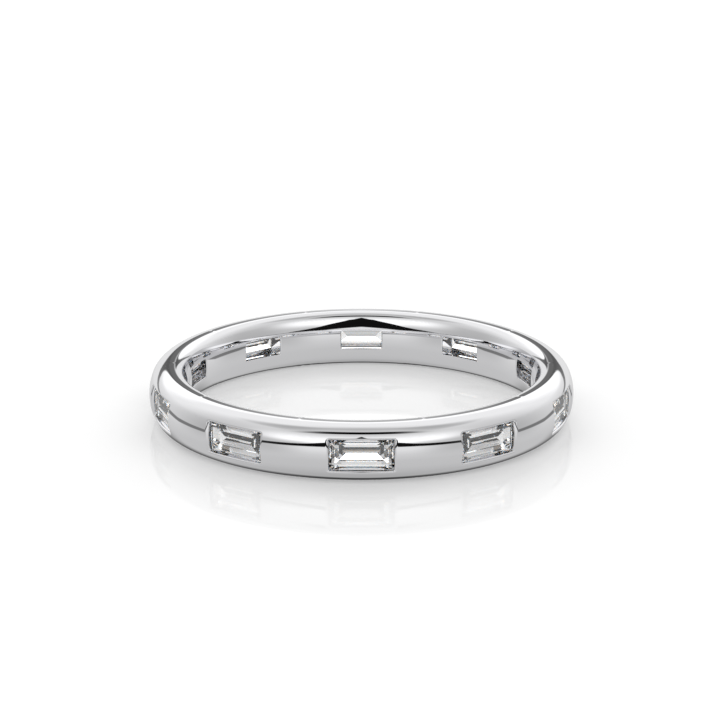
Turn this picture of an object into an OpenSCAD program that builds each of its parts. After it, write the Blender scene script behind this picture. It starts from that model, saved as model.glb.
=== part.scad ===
// Baguette band: a court-shaped finger ring with step-cut stones let into windows round it.
// The ring lies flat: its axis is Z, its lower rim is on z = 0, and the first stone faces -Y.

/* [Band] */
// Inner diameter at the middle of the band, where the finger touches it
finger_d = 17.3; // [16:0.1:20]
// Thickness of the wall at the middle of the band
wall_t = 1.88; // [1.82:0.01:2]
// Height of the band along the finger
band_h = 2.82; // [2.7:0.01:2.9]
// Radius of the domed outer face, seen in section
dome_r = 2.32; // [2.2:0.02:2.6]
// Radius of the shoulders between the domed face and the rims, seen in section
shoulder_r = 0.91; // [0.85:0.01:0.95]
// Radius of the softly domed inner face, seen in section
comfort_r = 3.4; // [3:0.1:4]
// Radius of the rounding between the inner face and the rims
inner_edge_r = 0.5; // [0.4:0.01:0.6]

/* [Stones] */
// How many stones are spaced evenly round the band
stone_count = 10; // [6:1:12]
// Length of a stone along the band
stone_l = 3; // [2.8:0.02:3.2]
// Width of a stone along the finger
stone_w = 1.46; // [1.4:0.02:1.6]
// Depth of a stone's flat table below the crest of the band
table_recess = 0.25; // [0.2:0.01:0.32]
// Height of a stone from its girdle up to its table
crown_h = 0.2; // [0.1:0.01:0.22]
// Width of the sloping border round the table
crown_inset = 0.2; // [0.15:0.01:0.25]
// Height of the thin upright edge round a stone
girdle_h = 0.04; // [0.03:0.01:0.06]
// Depth of a stone from its girdle down to its keel
pavilion_h = 0.74; // [0.7:0.01:0.8]
// Length of the keel, the straight edge at the bottom of a stone
keel_l = 1.46; // [1.4:0.02:1.6]

/* [Windows] */
// Gap between a stone and the metal round it
stone_gap = 0.02; // [0.01:0.005:0.03]
// Depth of the straight seat below a stone's girdle
seat_h = 0.08; // [0.05:0.01:0.12]
// Height of the straight wall above a stone's girdle, up to the bevel round the window's mouth
lip_h = 0.08; // [0.05:0.01:0.15]
// Length of the opening through to the finger
inner_l = 2.14; // [2.1:0.02:2.3]
// Width of the opening through to the finger
inner_w = 0.95; // [0.7:0.01:1.1]
// Depth of the straight part of that opening, from the inner face
inner_depth = 0.76; // [0.5:0.01:0.8]

/* [Hidden] */
$fn = 96;
half_h = band_h / 2;
inner_r = finger_d / 2;
outer_r = inner_r + wall_t;

// Centres of the section's arcs, as [distance from the axis, height above the middle]
dome_c = [outer_r - dome_r, 0];
shoulder_z = half_h - shoulder_r;
shoulder_c = [dome_c[0] + sqrt(pow(dome_r - shoulder_r, 2) - pow(shoulder_z, 2)), shoulder_z];
comfort_c = [inner_r + comfort_r, 0];
inner_edge_z = half_h - inner_edge_r;
inner_edge_c = [comfort_c[0] - sqrt(pow(comfort_r - inner_edge_r, 2) - pow(inner_edge_z, 2)), inner_edge_z];

// Directions, from the arcs' centres, of the points where one arc runs into the next
dome_end = atan2(shoulder_c[1], shoulder_c[0] - dome_c[0]);
comfort_end = atan2(inner_edge_c[1], inner_edge_c[0] - comfort_c[0]);

// Distances from the axis of a stone's levels, with the keel nearest the finger
table_r = outer_r - table_recess;
girdle_top_r = table_r - crown_h;
girdle_r = girdle_top_r - girdle_h;
keel_r = girdle_r - pavilion_h;

// Steps of the pavilion between girdle and keel: part of the half width, part of the depth
STEP_WIDTH = 0;
STEP_DEPTH = 1;
pavilion_steps = [
    [0.7, 0.43],
    [0.43, 0.77]
];

// Steps of the crown between girdle and table: part of the inset, part of the height
crown_steps = [
    [0.41, 0.57]
];

// Window levels from the axis: inside the finger hole, the ledge, the seat's foot, the mouth
// where the bevel starts, and clear of the crest
finger_side_r = inner_r - 1;
ledge_r = inner_r + inner_depth;
seat_r = girdle_r - seat_h;
mouth_r = girdle_top_r + lip_h;
clear_r = outer_r + 1;

// What lies outside an arc of radius r about c, between two directions, out to 3 r
module outside(c, r, a0, a1) {
    translate(c)
        difference() {
            polygon([[0, 0], 3 * r * [cos(a0), sin(a0)], 3 * r * [cos(a1), sin(a1)]]);
            circle(r = r);
        }
}

// What lies outside the two roundings of the upper half of the section
module outside_upper_roundings() {
    outside(shoulder_c, shoulder_r, dome_end, 90);
    outside(inner_edge_c, inner_edge_r, 90, comfort_end);
}

// Court section: domed outside, softly domed inside, with narrow flat rims
module section() {
    difference() {
        translate([inner_r, -half_h]) square([wall_t, band_h]);
        outside(dome_c, dome_r, -dome_end, dome_end);
        outside(comfort_c, comfort_r, comfort_end, 360 - comfort_end);
        outside_upper_roundings();
        mirror([0, 1]) outside_upper_roundings();
    }
}

// Outline of a window across one of its directions: half widths against distance from the axis
module window_outline(inner, outer) {
    seat = outer / 2 + stone_gap;
    half_widths = [
        [inner / 2, finger_side_r],
        [inner / 2, ledge_r],
        [seat, seat_r],
        [seat, mouth_r],
        [seat + clear_r - mouth_r, clear_r]
    ];
    last = len(half_widths) - 1;
    polygon(concat(
        half_widths,
        [for (i = [last : -1 : 0]) [-half_widths[i][0], half_widths[i][1]]]
    ));
}

// Window for the stone that faces -Y: what both of its outlines hold, right through the band
module window() {
    rotate([0, 0, 180])
        intersection() {
            linear_extrude(height = 2 * band_h, center = true)
                window_outline(inner_l, stone_l);
            rotate([0, 90, 0])
                linear_extrude(height = 2 * outer_r, center = true)
                    window_outline(inner_w, stone_w);
        }
}

// Corners of a rectangle l by w at distance r from the axis, for the stone that faces -Y
function corners(l, w, r) = [
    [-l / 2, -r, -w / 2],
    [l / 2, -r, -w / 2],
    [l / 2, -r, w / 2],
    [-l / 2, -r, w / 2]
];

// Levels of the crown from the table down to the girdle
crown_levels = [
    corners(stone_l - 2 * crown_inset, stone_w - 2 * crown_inset, table_r),
    for (s = crown_steps)
        corners(
            stone_l - 2 * crown_inset * s[STEP_WIDTH],
            stone_w - 2 * crown_inset * s[STEP_WIDTH],
            girdle_top_r + crown_h * s[STEP_DEPTH]
        ),
    corners(stone_l, stone_w, girdle_top_r)
];

// Levels of the pavilion from the girdle down to the last step above the keel
pavilion_levels = [
    corners(stone_l, stone_w, girdle_r),
    for (s = pavilion_steps)
        corners(
            keel_l + (stone_l - keel_l) * s[STEP_WIDTH],
            stone_w * s[STEP_WIDTH],
            girdle_r - pavilion_h * s[STEP_DEPTH]
        )
];

// Step-cut stone: a table, stepped facets down to a girdle, and stepped facets to a keel
module stone() {
    levels = concat(crown_levels, pavilion_levels);
    below = 4 * len(levels);
    keel = [[-keel_l / 2, -keel_r, 0], [keel_l / 2, -keel_r, 0]];
    points = concat([for (level = levels) each level], keel);
    sides = [
        for (k = [0 : len(levels) - 2], j = [0 : 3])
            let (a = 4 * k + j, b = 4 * k + (j + 1) % 4)
                [a, b, b + 4, a + 4]
    ];
    last = below - 4;
    keel_facets = [
        [last, last + 1, below + 1, below],
        [last + 1, last + 2, below + 1],
        [last + 2, last + 3, below, below + 1],
        [last + 3, last, below]
    ];
    polyhedron(points = points, faces = concat([[3, 2, 1, 0]], sides, keel_facets));
}

// Band of polished white metal with a window for each stone
module band() {
    color([0.86, 0.86, 0.88])
        translate([0, 0, half_h])
            difference() {
                rotate_extrude() section();
                for (i = [1 : stone_count])
                    rotate([0, 0, (i - 1) * 360 / stone_count]) window();
            }
}

// Stone number i, counted round the band from the one that faces -Y
module baguette(i) {
    color([0.93, 0.96, 0.98])
        translate([0, 0, half_h])
            rotate([0, 0, (i - 1) * 360 / stone_count]) stone();
}

band();
for (i = [1 : stone_count])
    baguette(i);
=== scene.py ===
import bpy
import numpy as np
from bpy.props import FloatProperty, FloatVectorProperty, IntProperty, PointerProperty
from bpy.types import Operator, Panel, PropertyGroup
from mathutils import Euler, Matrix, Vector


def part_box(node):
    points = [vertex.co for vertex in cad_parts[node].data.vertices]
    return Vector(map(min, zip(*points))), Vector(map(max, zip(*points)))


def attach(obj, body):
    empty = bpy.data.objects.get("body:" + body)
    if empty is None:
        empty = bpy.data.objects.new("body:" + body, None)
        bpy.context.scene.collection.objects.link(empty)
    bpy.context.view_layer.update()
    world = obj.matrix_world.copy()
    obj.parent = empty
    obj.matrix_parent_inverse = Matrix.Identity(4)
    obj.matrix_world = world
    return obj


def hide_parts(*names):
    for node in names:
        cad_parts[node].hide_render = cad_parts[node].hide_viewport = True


bl_info = {
    "name": "Baguette Band",
    "version": (1, 0, 0),
    "blender": (4, 5, 0),
    "location": "View3D > Sidebar > Ring",
    "description": "Makes a polished band with baguette stones let into windows, on a white table",
    "category": "Add Mesh",
}

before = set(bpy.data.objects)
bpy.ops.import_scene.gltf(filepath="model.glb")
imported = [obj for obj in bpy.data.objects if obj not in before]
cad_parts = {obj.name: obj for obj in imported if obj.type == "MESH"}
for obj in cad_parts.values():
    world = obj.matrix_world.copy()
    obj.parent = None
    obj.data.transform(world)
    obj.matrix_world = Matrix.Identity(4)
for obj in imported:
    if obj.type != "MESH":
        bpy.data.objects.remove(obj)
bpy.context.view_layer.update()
BAND_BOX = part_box("band")
STONES = sorted(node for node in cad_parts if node.startswith("baguette_"))

OUTER_R = BAND_BOX[1][0]
HALF_H = BAND_BOX[1][2] / 2
SLICE = 2 * np.pi / len(STONES)
UP, OUT = np.array([0.0, 0.0, 1.0]), np.array([0.0, 1.0, 0.0])

# Faces along a window's long sides, along its short sides and round each corner
LONG, SHORT, CORNER = 28, 14, 8
# Faces over the lip of a window's mouth, and over the lip of its opening to the finger
LIP_STEPS, OPENING_LIP_STEPS = 8, 3
# Share of a slice's width and height that the corner points of its bound take up
BOUND_CORNER = np.array([0.125, 0.4])
# Points that agree to this length are the same point
GRAIN = 1e-8

# Scale and detail of the noise in the polish
POLISH_SCALE, POLISH_DETAIL = 900, 3
# Values of the noise between which the roughness drifts, and what it is multiplied by at each
POLISH_NOISE, POLISH_DRIFT = (0.3, 0.7), (0.7, 1.3)
# Tints of the two halves of the light in a stone: the warm half bends less than the cool one
WARM, COOL = (0.58, 0.5, 0.42, 1), (0.42, 0.5, 0.58, 1)

# Sides of the round table top, and the roughness of the mirror on it
TABLE_SIDES, TABLE_GLOSS_ROUGHNESS = 128, 0.02
# Width and height of the white card, and its distance behind the ring
CARD_W, CARD_H, CARD_AWAY = 2.4, 1.2, 0.7
# Width of the camera's sensor in millimetres, and the nearest distance that it sees
SENSOR, NEAREST = 36.0, 0.005
# How often light may bounce in all, inside or off a face, and through one. Stones turn black with
# fewer bounces inside, and pale with more
BOUNCES, INSIDE_BOUNCES, THROUGH_BOUNCES = 24, 7, 16

# Greys of the studio's parts, as the polished metal shows them
GREYS = {"shade": 0.76, "glow": 1.03, "beside": 0.72, "under": 0.24, "wedge": 0.09, "strip": 0.04}
# A grey gives light of its own value to the power of GAMMA, times WHITE
GAMMA, WHITE = 2.2, 1.4
# Grey that stays the same when the stones add contrast, and the darkest grey that they show
PIVOT, DIMMEST = 0.68, 0.15


def length(name, description, default):
    """A size in metres, shown to a hundredth of a millimetre."""
    return FloatProperty(
        name=name, description=description, default=default, min=0, precision=5, unit="LENGTH"
    )


def share(name, description, default):
    """A number from nothing to all."""
    return FloatProperty(
        name=name, description=description, default=default, min=0, max=1, subtype="FACTOR"
    )


class BandSizes(PropertyGroup):
    """Sizes of the band in section."""

    wall: length("Wall", "Thickness of the band at the middle of its height", 0.00188)
    dome_r: length("Dome", "Radius of the outer face in section", 0.00232)
    shoulder_r: length("Shoulder", "Radius between the outer face and the rims", 0.00091)
    comfort_r: length("Comfort", "Radius of the inner face in section", 0.0034)
    edge_r: length("Inner edge", "Radius between the inner face and the rims", 0.0005)
    rings: IntProperty(
        name="Rings", description="Rows of faces from a window's lip to the next window's slice",
        default=26, min=4, max=60,
    )


class WindowSizes(PropertyGroup):
    """Sizes of the windows that hold the stones."""

    seat_l: length("Seat length", "Length of the straight seat along the band", 0.00304)
    seat_w: length("Seat width", "Width of the straight seat along the finger", 0.0015)
    corner_r: length("Corner", "Radius of the seat's corners", 0.00005)
    lip_l: length("End lip", "Width of the burnished lip at the ends of the mouth", 0.00019)
    lip_w: length("Side lip", "Width of the burnished lip along the sides of the mouth", 0.00012)
    seat_foot: length("Seat foot", "Distance from the axis to the seat's lower end", 0.00996)
    ledge: length("Ledge", "Distance from the axis to the ledge below the stone", 0.00941)
    inner_l: length("Opening length", "Length of the opening to the finger", 0.00214)
    inner_w: length("Opening width", "Width of the opening to the finger", 0.00095)
    inner_lip_r: length("Opening lip", "Width of the rounded edge of that opening", 0.00004)


class Finishes(PropertyGroup):
    """Looks of the metal and the stones."""

    metal: FloatVectorProperty(
        name="Metal", description="Colour of the polished white metal",
        default=(0.88, 0.88, 0.895), min=0, max=1, size=3, subtype="COLOR",
    )
    polish: share("Polish", "Roughness of the polished metal", 0.03)
    stone_ior: FloatProperty(
        name="Refraction", description="Refractive index of the stones in green light",
        default=2.417, min=1, max=3,
    )
    fire: FloatProperty(
        name="Fire", description="Spread of the refractive index from red to blue",
        default=0.035, min=0, max=0.1,
    )


class Studio(PropertyGroup):
    """The camera, the white table and the light on them."""

    distance: length("Distance", "From the camera to the middle of the ring", 0.17476)
    aside: length("Aside", "How far the camera stands to the left of the ring", 0.000071)
    lens: FloatProperty(
        name="Lens", description="Focal length of the camera", default=175.7,
        min=20, max=400, unit="CAMERA",
    )
    elevation: FloatProperty(
        name="Elevation", description="Angle of the camera above the middle of the ring",
        default=np.radians(17.485), min=0, max=np.pi / 2, unit="ROTATION",
    )
    pitch: FloatProperty(
        name="Pitch", description="How far the camera looks down",
        default=np.radians(16.999), min=0, max=np.pi / 2, unit="ROTATION",
    )
    table_r: length("Table", "Radius of the white table top", 0.6)
    table: FloatVectorProperty(
        name="Table colour", description="Colour of the table top",
        default=(0.93, 0.93, 0.93), min=0, max=1, size=3, subtype="COLOR",
    )
    mirror: share("Mirror", "How much of a clear mirror the table top is", 0.08)
    lit: share("Lit", "How much of the table's light comes up from below it", 0.24)
    fill: FloatProperty(
        name="Fill", description="Even light that falls on the table", default=1.05, min=0, max=2,
    )
    card: FloatProperty(
        name="Card", description="Brightness of the white card that the table mirrors",
        default=1.2, min=0, max=4,
    )
    sparkle: FloatProperty(
        name="Sparkle", description="Contrast of the studio as seen through the stones",
        default=2.2, min=1, max=4,
    )


class Side:
    """One face of the band in section: distance from the axis and height against arc length.

    From the middle of the height a wide arc runs to the angle where a narrow arc takes over, and
    the narrow arc runs to the level rim. sense is 1 for the outer face, and -1 for the inner
    face, whose arcs bulge towards the axis.
    """

    def __init__(self, middle, wide, narrow, sense):
        self.sense, self.wide, self.narrow = sense, wide, narrow
        self.narrow_z = HALF_H - narrow
        across = np.sqrt((wide - narrow) ** 2 - self.narrow_z ** 2)
        self.wide_c = middle - sense * wide
        self.narrow_c = self.wide_c + sense * across
        self.turn = np.arctan2(self.narrow_z, across)
        self.wide_s = wide * self.turn
        self.round_s = self.wide_s + narrow * (np.pi / 2 - self.turn)

    def at(self, s):
        """Distance from the axis, height and slope at the signed arc length s."""
        a = np.abs(s)
        on_wide = a < self.wide_s
        near = a / self.wide
        far = np.minimum(self.turn + (a - self.wide_s) / self.narrow, np.pi / 2)
        out = np.where(
            on_wide,
            self.wide_c + self.sense * self.wide * np.cos(near),
            self.narrow_c + self.sense * self.narrow * np.cos(far),
        ) - self.sense * np.maximum(a - self.round_s, 0)
        up = np.where(
            on_wide, self.wide * np.sin(near), self.narrow_z + self.narrow * np.sin(far)
        )
        return out, np.sign(s) * up, np.sign(s) * np.where(on_wide, near, far)

    def arc_length(self, z):
        """Signed arc length from the middle of the height to height z, the inverse of at."""
        a = np.abs(z)
        near = self.wide * np.arcsin(np.minimum(a / self.wide, 1))
        sine = np.clip((a - self.narrow_z) / self.narrow, 0, 1)
        far = self.wide_s + self.narrow * (np.arcsin(sine) - self.turn)
        return np.sign(z) * np.where(a < self.wide * np.sin(self.turn), near, far)

    def place(self, turned):
        """Points and normals at pairs of angle round the axis and arc length.

        The section's point is turned about the axis: across is distance times sine, outwards is
        distance times cosine, and up is its height.
        """
        phi, s = turned[..., 0], turned[..., 1]
        out, up, slope = self.at(s)
        level = self.sense * np.cos(slope)
        points = np.stack([out * np.sin(phi), out * np.cos(phi), up], -1)
        normals = np.stack([level * np.sin(phi), level * np.cos(phi), np.sin(slope)], -1)
        return points, normals

    def turned(self, flat):
        """Pairs of angle and arc length for points given by their places across and up."""
        s = self.arc_length(flat[:, 1])
        return np.stack([np.arcsin(flat[:, 0] / self.at(s)[0]), s], -1)


def loop(half_l, half_w, corner_l, corner_w, square=False):
    """Closed loop round a rectangle: four quarter turns joined by straight sides.

    Each corner is a quarter of an ellipse with radii corner_l and corner_w. A square corner
    pushes the same points out on to the rectangle, so points of two loops lie side by side.
    """
    turn = np.linspace(0, np.pi / 2, CORNER + 1)
    corners = []
    for quarter, (right, top) in enumerate([(1, 1), (-1, 1), (-1, -1), (1, -1)]):
        ray = np.stack([np.cos(turn + quarter * np.pi / 2), np.sin(turn + quarter * np.pi / 2)], -1)
        if square:
            ray = ray / np.abs(ray).max(-1, keepdims=True)
        centre = np.array([right * (half_l - corner_l), top * (half_w - corner_w)])
        corners.append(centre + ray * [corner_l, corner_w])
    whole = []
    for quarter, corner in enumerate(corners):
        count = LONG if quarter % 2 == 0 else SHORT
        part = (np.arange(1, count) / count)[:, None]
        whole += [corner, corner[-1] + part * (corners[(quarter + 1) % 4][0] - corner[-1])]
    return np.concatenate(whole)


def unit(vectors):
    """Vectors shortened or stretched to a length of one."""
    return vectors / np.linalg.norm(vectors, axis=-1, keepdims=True)


def crossed(points, across):
    """Normals of a grid: the way across its rows, crossed with the direction along each row."""
    along = np.roll(points, -1, axis=-2) - np.roll(points, 1, axis=-2)
    return unit(np.cross(np.broadcast_to(across, points.shape), along))


def strip(start, end):
    """Two rows joined by straight lines, with the normals of that ruled surface."""
    points = np.stack([start, end])
    return points, crossed(points, end - start)


def lifted(flat, out):
    """Points across and up set at a distance outwards from the axis."""
    return np.stack([flat[:, 0], np.full(len(flat), out), flat[:, 1]], -1)


def rolled_edge(edge, edge_normals, wall, sense, steps):
    """Rows that roll from a curved face over into an upright wall, as part of a circle.

    Seen across the edge, the face climbs at an angle to the level as it nears the wall. The
    circle that touches the face there and the wall has a radius of the width divided by one plus
    the angle's sine. Its rows are its centre plus the radius times a ray, turned from the face's
    normal to the wall's in even steps.
    """
    face = sense * OUT
    level = (lifted(wall, 0) - edge) * (1 - OUT)
    width = np.linalg.norm(level, axis=-1, keepdims=True)
    level = level / width
    climb = np.arctan2(
        -(edge_normals * level).sum(-1, keepdims=True), (edge_normals * face).sum(-1, keepdims=True)
    )
    radius = width / (1 + np.sin(climb))
    centre = edge - radius * (np.cos(climb) * face - np.sin(climb) * level)
    angle = (np.pi / 2 + climb) * np.linspace(1, 0, steps + 1)[:, None, None]
    points = centre + radius * (np.cos(angle) * level + np.sin(angle) * face)
    return points, crossed(points, np.sin(angle) * level - np.cos(angle) * face)


def window_slice(band, window):
    """The band's skin round one window, as grids of closed rows with their normals.

    The rows run from the slice's bound on the outer face to the lip, over it and down the seat,
    in to the opening, and out again over the inner face to the slice's bound there.
    """
    outer = Side(OUTER_R, band.dome_r, band.shoulder_r, 1)
    inner = Side(OUTER_R - band.wall, band.comfort_r, band.edge_r, -1)
    half_rim = (outer.narrow_c - inner.narrow_c) / 2
    rows = np.linspace(1, 0, band.rings + 1)[:, None, None]

    def grown(half_l, half_w, by_l, by_w):
        corner = window.corner_r
        return loop(half_l + by_l, half_w + by_w, corner + by_l, corner + by_w)

    def face(side, edge):
        bound_s = side.round_s + half_rim
        corner_l, corner_s = BOUND_CORNER * (SLICE, bound_s)
        bound = loop(SLICE / 2, bound_s, corner_l, corner_s, square=True)
        return edge + rows * (bound - edge)

    seat = window.seat_l / 2, window.seat_w / 2
    opening = window.inner_l / 2, window.inner_w / 2
    seat_wall, opening_wall = grown(*seat, 0, 0), grown(*opening, 0, 0)

    mouth = outer.turned(grown(*seat, window.lip_l, window.lip_w))
    outer_face = outer.place(face(outer, mouth))
    lip = rolled_edge(*outer.place(mouth), seat_wall, 1, LIP_STEPS)

    inner_mouth = inner.turned(grown(*opening, window.inner_lip_r, window.inner_lip_r))
    inner_face = inner.place(face(inner, inner_mouth)[::-1])
    points, _ = rolled_edge(*inner.place(inner_mouth), opening_wall, -1, OPENING_LIP_STEPS)
    inner_lip = points[::-1], crossed(points[::-1], np.gradient(points[::-1], axis=0))

    seat_foot, ledge = lifted(seat_wall, window.seat_foot), lifted(opening_wall, window.ledge)
    return [
        outer_face, lip, strip(lip[0][-1], seat_foot), strip(seat_foot, ledge),
        strip(ledge, inner_lip[0][0]), inner_lip, inner_face,
    ]


def turned_round(vectors):
    """Copies of vectors given across, outwards and up, one for each stone round the axis."""
    angle = np.arange(len(STONES)) * SLICE
    zero, one = np.zeros_like(angle), np.ones_like(angle)
    turns = np.array([
        [np.cos(angle), np.sin(angle), zero],
        [np.sin(angle), -np.cos(angle), zero],
        [zero, zero, one],
    ])
    return np.einsum("abk,...b->k...a", turns, vectors)


def quads(rows, count, first):
    """Corner numbers of the faces between closed rows, in the order that faces outwards."""
    row, point = np.meshgrid(np.arange(rows - 1), np.arange(count), indexing="ij")
    after = (point + 1) % count
    corners = [row * count + point, row * count + after,
               (row + 1) * count + after, (row + 1) * count + point]
    return first + np.stack(corners, -1).reshape(-1, 4)


def whole_band(band, window):
    """Every slice's points, faces and corner normals, with the points that meet made one."""
    points, normals, faces, first = [], [], [], 0
    for places, ways in window_slice(band, window):
        all_places, all_ways = turned_round(places), turned_round(ways)
        rows, count = places.shape[:2]
        for k in range(len(STONES)):
            faces.append(quads(rows, count, first + k * rows * count))
        points.append(all_places.reshape(-1, 3))
        normals.append(all_ways.reshape(-1, 3))
        first += len(points[-1])
    points, normals, faces = map(np.concatenate, (points, normals, faces))
    _, kept, same = np.unique(
        np.round(points / GRAIN).astype(np.int64), axis=0, return_index=True, return_inverse=True
    )
    return points[kept] + HALF_H * UP, same.reshape(-1)[faces], normals[faces]


def mesh_object(name, points, faces, normals):
    """A mesh object at the origin, smooth, with a normal for each corner of each face."""
    mesh = bpy.data.meshes.new(name)
    mesh.vertices.add(len(points))
    mesh.vertices.foreach_set("co", points.astype(np.float32).ravel())
    mesh.loops.add(faces.size)
    mesh.loops.foreach_set("vertex_index", faces.astype(np.int32).ravel())
    mesh.polygons.add(len(faces))
    starts = np.arange(len(faces), dtype=np.int32) * faces.shape[1]
    mesh.polygons.foreach_set("loop_start", starts)
    mesh.polygons.foreach_set("use_smooth", np.ones(len(faces), dtype=bool))
    mesh.update(calc_edges=True)
    mesh.normals_split_custom_set(normals.reshape(-1, 3))
    piece = bpy.data.objects.new(name, mesh)
    bpy.context.scene.collection.objects.link(piece)
    return piece


def joined(tree, node, *values):
    """First output of a node whose inputs are sockets or plain values."""
    for socket, value in zip(node.inputs, values):
        if isinstance(value, bpy.types.NodeSocket):
            tree.links.new(value, socket)
        elif value is not None:
            socket.default_value = value
    return node.outputs[0]


def maths(tree, operation, *values):
    """Output of a Math node."""
    node = tree.nodes.new("ShaderNodeMath")
    node.operation = operation
    return joined(tree, node, *values)


def product(tree, first, *others):
    """All the numbers multiplied together, so shares give 1 only where each of them is 1."""
    for other in others:
        first = maths(tree, "MULTIPLY", first, other)
    return first


def mixed(tree, factor, first, second):
    """A number that goes from first to second with factor."""
    node = tree.nodes.new("ShaderNodeMix")
    return joined(tree, node, factor, None, first, second)


def eased(tree, value, low, high):
    """Goes smoothly from 0 where value is low to 1 where it is high, which may be the smaller."""
    node = tree.nodes.new("ShaderNodeMapRange")
    node.interpolation_type = "SMOOTHSTEP"
    return joined(tree, node, value, low, high)


def ramp(tree, value, stops):
    """A number read off straight lines between stops of place and number."""
    places, numbers = np.array(stops, dtype=float).T
    low, high, span = places[0], places[-1], np.ptp(places)
    floor, rise = numbers.min(), max(np.ptp(numbers), 1e-6)
    node = tree.nodes.new("ShaderNodeValToRGB")
    elements = node.color_ramp.elements
    while len(elements) < len(stops):
        elements.new(0.5)
    for element, place, number in zip(elements, (places - low) / span, (numbers - floor) / rise):
        element.position = place
        element.color = (number, number, number, 1)
    scaled = joined(tree, node, maths(tree, "DIVIDE", maths(tree, "SUBTRACT", value, low), span))
    return maths(tree, "MULTIPLY_ADD", scaled, rise, floor)


def directions(tree):
    """Azimuth and height in degrees of the way that a ray takes, and its rise towards the camera.

    Azimuth is 0 towards the camera and 180 behind the ring, the same on both sides. The rise is
    height over distance, and is the same all along a level line overhead.
    """
    direction = tree.nodes.new("ShaderNodeTexCoord").outputs["Generated"]
    parts = tree.nodes.new("ShaderNodeSeparateXYZ")
    tree.links.new(direction, parts.inputs[0])
    x, y, z = parts.outputs
    aside, ahead = maths(tree, "ABSOLUTE", x), maths(tree, "MULTIPLY", y, -1)
    azimuth = maths(tree, "DEGREES", maths(tree, "ARCTAN2", aside, ahead))
    height = maths(tree, "DEGREES", maths(tree, "ARCSINE", z))
    return azimuth, height, maths(tree, "DIVIDE", z, maths(tree, "MAXIMUM", ahead, 0.001))


def upper_studio(tree, azimuth, height):
    """Greys above the dark line, by height at the front, at the sides and at the back.

    The front is shaded low down beside the wedge, and the back has a bright glow half way up.
    """
    front = ramp(tree, height, [
        (0, 1.05), (18, 1.03), (26, 0.97), (33, 0.91), (40, 0.86), (48, 0.80), (56, 0.77),
        (75, 0.76), (82, 0.72), (90, 0.69),
    ])
    shade = product(tree, eased(tree, height, 15.5, 6.5), eased(tree, azimuth, 18, 34))
    front = mixed(tree, shade, front, GREYS["shade"])
    side = ramp(tree, height, [
        (0, 0.67), (9, 0.70), (16, 0.74), (25, 0.78), (35, 0.80), (45, 0.82), (51, 0.83),
        (57, 0.72), (65, 0.67), (72, 0.67), (80, 0.70), (90, 0.69),
    ])
    back = ramp(tree, height, [
        (-10, 0.80), (0, 0.83), (10, 0.87), (20, 0.92), (45, 0.93), (68, 0.925), (76, 0.88),
        (82, 0.79), (90, 0.69),
    ])
    glow = product(
        tree, eased(tree, height, 13, 20), eased(tree, height, 42, 33),
        eased(tree, azimuth, 128, 155),
    )
    back = mixed(tree, glow, back, GREYS["glow"])
    grey = mixed(tree, eased(tree, azimuth, 38, 72), front, side)
    return mixed(tree, eased(tree, azimuth, 82, 128), grey, back)


def lower_studio(tree, azimuth, height, through_stone):
    """Greys below the dark line, where light comes off the table.

    They are darker at the sides, and much darker low at the back, but not for light that passed
    through a stone.
    """
    grey = ramp(tree, height, [
        (-90, 0.64), (-60, 0.70), (-45, 0.74), (-30, 0.75), (-16, 0.80), (-4, 0.87), (10, 0.88),
    ])
    beside = product(
        tree, eased(tree, azimuth, 25, 52), eased(tree, azimuth, 120, 95),
        eased(tree, height, -32, -8),
    )
    grey = mixed(tree, beside, grey, GREYS["beside"])
    under = product(
        tree, eased(tree, azimuth, 128, 180), eased(tree, height, -18, -30),
        eased(tree, height, -78, -62),
    )
    under = mixed(tree, through_stone, under, 0)
    return mixed(tree, under, grey, GREYS["under"])


def dark_line(tree, azimuth, height):
    """Height above the thin dark line round the studio, how much of it shows, and its grey."""
    middle = ramp(tree, azimuth, [
        (0, 9), (22, 6), (30, 4.8), (37, 3.1), (45, 1.5), (52, 0.2), (70, -4), (90, -8.9),
        (103, -9.7), (114, -10), (135, -5), (142, 1), (150, 7), (157, 11), (165, 13.5),
        (172, 15.8), (180, 18.3),
    ])
    thickness = ramp(tree, azimuth, [
        (0, 2), (22, 2.7), (30, 2.8), (37, 2.6), (52, 2.3), (150, 2.2), (168, 2.3), (176, 2.7),
        (180, 2),
    ])
    grey = ramp(tree, azimuth, [
        (0, 0.08), (40, 0.08), (60, 0.25), (90, 0.44), (150, 0.52), (168, 0.38), (175, 0.34),
        (176.8, 0.38), (178, 0.56), (179.2, 0.67), (180, 0.68),
    ])
    above = maths(tree, "SUBTRACT", height, middle)
    away = maths(tree, "DIVIDE", maths(tree, "ABSOLUTE", above), thickness)
    return above, eased(tree, away, 1.3, 0.7), grey


def black_wedge(tree, azimuth, height, above):
    """How much of the black wedge shows, which stands on the line behind the camera."""
    half_width = ramp(tree, height, [
        (3.8, 36), (6.5, 33.7), (9.2, 27.3), (12.6, 21), (15.8, 14.5), (17.6, 11), (20, 7.5),
        (23, 5), (30, 2.6), (40, 0), (41, -3),
    ])
    inside = eased(tree, maths(tree, "SUBTRACT", azimuth, half_width), 0.8, -0.8)
    return product(tree, inside, eased(tree, above, 0, 1))


def black_strip(tree, azimuth, rise):
    """How much of the black strip shows, which lies level overhead in front of the ring."""
    away = maths(tree, "ABSOLUTE", maths(tree, "SUBTRACT", rise, 1.93))
    return product(tree, eased(tree, away, 0.62, 0.44), eased(tree, azimuth, 50, 18))


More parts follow.
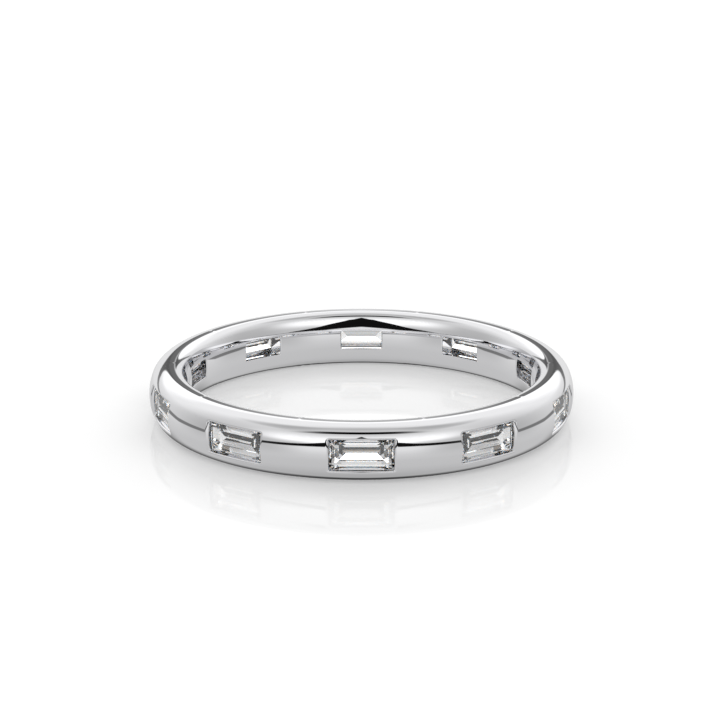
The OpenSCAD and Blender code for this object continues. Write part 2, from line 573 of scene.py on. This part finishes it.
def studio_world(studio):
    """Soft white studio round the table, as greys by the direction of the light.

    A thin dark line divides the studio from the light that comes off the table. A black wedge
    stands on it behind the camera, and a black strip lies overhead. The greys are those that the
    polished metal shows, so they are raised to a power to give the light. Light that passed
    through a stone shows them with more contrast, which makes the cut stones bright. The table
    gets an even light instead.
    """
    world = bpy.data.worlds.new("studio")
    bpy.context.scene.world = world
    world.use_nodes = True
    tree = world.node_tree
    tree.nodes.clear()
    azimuth, height, rise = directions(tree)
    path = tree.nodes.new("ShaderNodeLightPath").outputs
    through_stone, on_table = path["Is Transmission Ray"], path["Is Diffuse Ray"]

    above, on_line, line_grey = dark_line(tree, azimuth, height)
    lower = lower_studio(tree, azimuth, height, through_stone)
    upper = upper_studio(tree, azimuth, height)
    grey = mixed(tree, eased(tree, above, -1, 1), lower, upper)
    grey = mixed(tree, on_line, grey, line_grey)
    grey = mixed(tree, black_wedge(tree, azimuth, height, above), grey, GREYS["wedge"])
    grey = mixed(tree, black_strip(tree, azimuth, rise), grey, GREYS["strip"])

    sparkle = studio.sparkle
    sharp = maths(tree, "MULTIPLY_ADD", grey, sparkle, PIVOT * (1 - sparkle))
    grey = mixed(tree, through_stone, grey, maths(tree, "MAXIMUM", sharp, DIMMEST))
    light = maths(tree, "MULTIPLY", maths(tree, "POWER", grey, GAMMA), WHITE)
    background = tree.nodes.new("ShaderNodeBackground")
    joined(tree, background, None, mixed(tree, on_table, light, studio.fill))
    output = tree.nodes.new("ShaderNodeOutputWorld")
    tree.links.new(background.outputs[0], output.inputs["Surface"])


def new_material(name):
    """A new material and its nodes."""
    material = bpy.data.materials.new(name)
    material.use_nodes = True
    return material, material.node_tree


def shader(tree, kind, **values):
    """Output of a shader node with plain values in the inputs that are named."""
    node = tree.nodes.new("ShaderNode" + kind)
    for name, value in values.items():
        node.inputs[name].default_value = value
    return node.outputs[0]


def mixed_shader(tree, factor, first, second):
    """A shader that goes from first to second with factor."""
    return joined(tree, tree.nodes.new("ShaderNodeMixShader"), factor, first, second)


def shown(tree, surface):
    """Make a shader the look of the whole surface."""
    output = tree.nodes.new("ShaderNodeOutputMaterial")
    tree.links.new(surface, output.inputs["Surface"])


def polished_metal(finish):
    """White metal polished to a mirror: its roughness drifts a little over the surface."""
    material, tree = new_material("polished_white_gold")
    metal = tree.nodes["Principled BSDF"]
    metal.inputs["Base Color"].default_value = (*finish.metal, 1)
    metal.inputs["Metallic"].default_value = 1
    noise = tree.nodes.new("ShaderNodeTexNoise")
    noise.inputs["Scale"].default_value = POLISH_SCALE
    noise.inputs["Detail"].default_value = POLISH_DETAIL
    place = tree.nodes.new("ShaderNodeTexCoord").outputs["Object"]
    tree.links.new(place, noise.inputs["Vector"])
    least, most = (finish.polish * drift for drift in POLISH_DRIFT)
    rough = mixed(tree, eased(tree, noise.outputs["Fac"], *POLISH_NOISE), least, most)
    tree.links.new(rough, metal.inputs["Roughness"])
    return material


def faceted_stone(finish):
    """Clear stone that bends warm and cool light by slightly different amounts."""
    material, tree = new_material("clear_diamond")
    tree.nodes.clear()
    halves = [
        shader(tree, "BsdfGlass", Color=tint, Roughness=0, IOR=finish.stone_ior + more)
        for tint, more in ((WARM, -finish.fire / 2), (COOL, finish.fire / 2))
    ]
    shown(tree, joined(tree, tree.nodes.new("ShaderNodeAddShader"), *halves))
    return material


def white_table(studio):
    """White table top, partly lit from below, with a faint clear mirror on it."""
    material, tree = new_material("white_table")
    tree.nodes.clear()
    white = (*studio.table, 1)
    matt = shader(tree, "BsdfDiffuse", Color=white)
    below = shader(tree, "Emission", Color=white, Strength=studio.fill)
    gloss = shader(tree, "BsdfGlossy", Color=(1, 1, 1, 1), Roughness=TABLE_GLOSS_ROUGHNESS)
    lit = mixed_shader(tree, studio.lit, matt, below)
    shown(tree, mixed_shader(tree, studio.mirror, lit, gloss))
    return material


def white_card(studio, table):
    """Tall card of light far behind the ring that lights only the table and shows only in it."""
    light = bpy.data.lights.new("white_card", "AREA")
    light.shape = "RECTANGLE"
    light.size, light.size_y = CARD_W, CARD_H
    light.energy = studio.card * np.pi * CARD_W * CARD_H
    card = bpy.data.objects.new("white_card", light)
    bpy.context.scene.collection.objects.link(card)
    card.location = (0, CARD_AWAY, CARD_H / 2)
    card.rotation_euler = Euler((-np.pi / 2, 0, 0))
    card.visible_camera = False
    only = bpy.data.collections.new("lit_by_the_card")
    only.objects.link(table)
    card.light_linking.receiver_collection = only


def table_top(studio):
    """Round white table top at height 0, which the metal and the stones don't see."""
    angle = np.linspace(0, 2 * np.pi, TABLE_SIDES, endpoint=False)
    rim = studio.table_r * np.stack([np.cos(angle), np.sin(angle), 0 * angle], -1)
    mesh = bpy.data.meshes.new("table_top")
    mesh.from_pydata(rim.tolist(), [], [list(range(len(rim)))])
    table = bpy.data.objects.new("table_top", mesh)
    bpy.context.scene.collection.objects.link(table)
    table.data.materials.append(white_table(studio))
    table.visible_glossy = False
    table.visible_transmission = False
    return table


def long_lens(studio):
    """Camera in front of the ring that looks a little down on it."""
    camera = bpy.data.cameras.new("camera")
    camera.sensor_width = SENSOR
    camera.lens = studio.lens
    camera.clip_start = NEAREST
    viewer = bpy.data.objects.new("camera", camera)
    bpy.context.scene.collection.objects.link(viewer)
    viewer.location = (
        -studio.aside,
        -studio.distance * np.cos(studio.elevation),
        HALF_H + studio.distance * np.sin(studio.elevation),
    )
    viewer.rotation_euler = Euler((np.pi / 2 - studio.pitch, 0, 0))
    return viewer


class RING_OT_band(Operator):
    """Make the polished band with its windows and let it stand for the solid one"""

    bl_idname = "ring.band"
    bl_label = "Band"

    def execute(self, context):
        scene = context.scene
        points, faces, normals = whole_band(scene.ring_band, scene.ring_window)
        band = mesh_object("polished_band", points, faces, normals)
        band.data.materials.append(polished_metal(scene.ring_finish))
        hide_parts("band")
        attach(band, "root")
        return {"FINISHED"}


class RING_OT_stones(Operator):
    """Give the baguette stones their clear material"""

    bl_idname = "ring.stones"
    bl_label = "Stones"

    def execute(self, context):
        material = faceted_stone(context.scene.ring_finish)
        for name in STONES:
            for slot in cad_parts[name].material_slots:
                slot.material = material
        return {"FINISHED"}


class RING_OT_studio(Operator):
    """Set out the white table, the soft studio light and the camera"""

    bl_idname = "ring.studio"
    bl_label = "Studio"

    def execute(self, context):
        scene = context.scene
        table = table_top(scene.ring_studio)
        white_card(scene.ring_studio, table)
        studio_world(scene.ring_studio)
        scene.view_settings.view_transform = "Standard"
        scene.cycles.max_bounces = BOUNCES
        scene.cycles.glossy_bounces = INSIDE_BOUNCES
        scene.cycles.transmission_bounces = THROUGH_BOUNCES
        scene.camera = long_lens(scene.ring_studio)
        return {"FINISHED"}


class RING_PT_panel(Panel):
    """Sizes, looks and buttons for the ring"""

    bl_label = "Baguette Band"
    bl_idname = "RING_PT_panel"
    bl_space_type = "VIEW_3D"
    bl_region_type = "UI"
    bl_category = "Ring"

    def draw(self, context):
        scene = context.scene
        for group in (scene.ring_band, scene.ring_window, scene.ring_finish, scene.ring_studio):
            box = self.layout.box()
            for name in group.__annotations__:
                box.prop(group, name)
        for operator in (RING_OT_band, RING_OT_stones, RING_OT_studio):
            self.layout.operator(operator.bl_idname)


GROUPS = {
    "ring_band": BandSizes, "ring_window": WindowSizes,
    "ring_finish": Finishes, "ring_studio": Studio,
}
CLASSES = (*GROUPS.values(), RING_OT_band, RING_OT_stones, RING_OT_studio, RING_PT_panel)


def register():
    """Add the classes, and the groups of values to every scene."""
    for item in CLASSES:
        bpy.utils.register_class(item)
    for name, group in GROUPS.items():
        setattr(bpy.types.Scene, name, PointerProperty(type=group))


def unregister():
    """Take away what register added."""
    for name in GROUPS:
        delattr(bpy.types.Scene, name)
    for item in reversed(CLASSES):
        bpy.utils.unregister_class(item)


def main():
    """Build the scene."""
    register()
    bpy.ops.ring.band()
    bpy.ops.ring.stones()
    bpy.ops.ring.studio()


if __name__ == "__main__":
    main()
